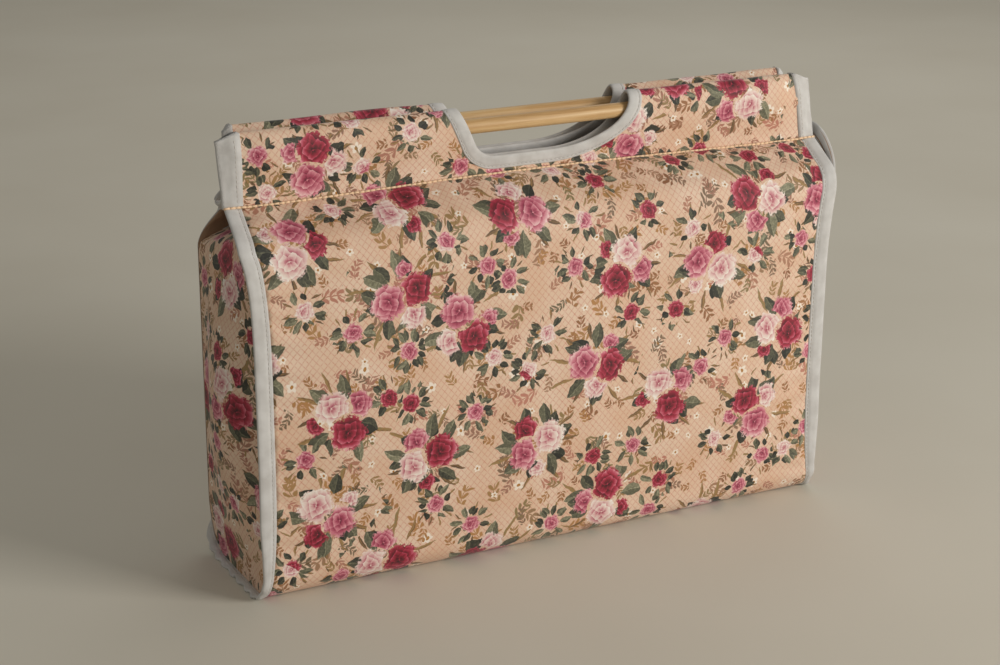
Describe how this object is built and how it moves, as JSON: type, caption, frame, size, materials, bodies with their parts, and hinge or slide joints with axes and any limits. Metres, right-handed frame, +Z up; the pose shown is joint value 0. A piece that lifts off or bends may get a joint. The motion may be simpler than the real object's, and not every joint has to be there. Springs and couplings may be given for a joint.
{
  "type": "knitting bag",
  "caption": "Rectangular sewn cloth knitting bag with bound seams, fold-in flaps and two dowel handles in casings with scooped grips.",
  "frame": {"origin": "middle of the base, on the surface the bag stands on", "axes": "+X along the dowels to the right seen from the front, +Y from front to back, +Z up"},
  "size_m": [0.4398, 0.112, 0.3015],
  "materials": {
    "print_cotton": "peach cotton with a small rose print, slight sheen",
    "white_tape": "white cotton bias binding, plain weave",
    "dowel_wood": "pale sanded dowel, unvarnished"
  },
  "bodies": {
    "bag": {"base": "print_cotton", "front_wall": "print_cotton", "back_wall": "print_cotton", "left_gusset": "print_cotton", "right_gusset": "print_cotton", "left_gusset_hem": "white_tape", "right_gusset_hem": "white_tape", "left_seam_binding": "white_tape", "right_seam_binding": "white_tape"},
    "front_top": {"front_flap": "print_cotton", "front_left_flap_binding": "white_tape", "front_right_flap_binding": "white_tape"},
    "front_handle": {"front_casing": "print_cotton", "front_grip_binding": "white_tape", "front_left_casing_binding": "white_tape", "front_right_casing_binding": "white_tape"},
    "front_rod": {"front_dowel": "dowel_wood"},
    "back_top": {"back_flap": "print_cotton", "back_left_flap_binding": "white_tape", "back_right_flap_binding": "white_tape"},
    "back_handle": {"back_casing": "print_cotton", "back_grip_binding": "white_tape", "back_left_casing_binding": "white_tape", "back_right_casing_binding": "white_tape"},
    "back_rod": {"back_dowel": "dowel_wood"}
  },
  "joints": [
    {"name": "front_flap_fold", "type": "hinge", "parent": "bag", "child": "front_top", "pos_m": [0, -0.05, 0.235], "axis": [1, 0, 0], "range_deg": [0, 100]},
    {"name": "front_handle_fold", "type": "hinge", "parent": "front_top", "child": "front_handle", "pos_m": [0, -0.014, 0.2545], "axis": [1, 0, 0], "range_deg": [0, 90]},
    {"name": "front_dowel_turn", "type": "hinge", "parent": "front_handle", "child": "front_rod", "pos_m": [0, -0.0105, 0.289], "axis": [1, 0, 0], "continuous": true},
    {"name": "back_flap_fold", "type": "hinge", "parent": "bag", "child": "back_top", "pos_m": [0, 0.05, 0.235], "axis": [-1, 0, 0], "range_deg": [0, 100]},
    {"name": "back_handle_fold", "type": "hinge", "parent": "back_top", "child": "back_handle", "pos_m": [0, 0.014, 0.2545], "axis": [-1, 0, 0], "range_deg": [0, 90]},
    {"name": "back_dowel_turn", "type": "hinge", "parent": "back_handle", "child": "back_rod", "pos_m": [0, 0.0105, 0.289], "axis": [-1, 0, 0], "continuous": true}
  ]
}
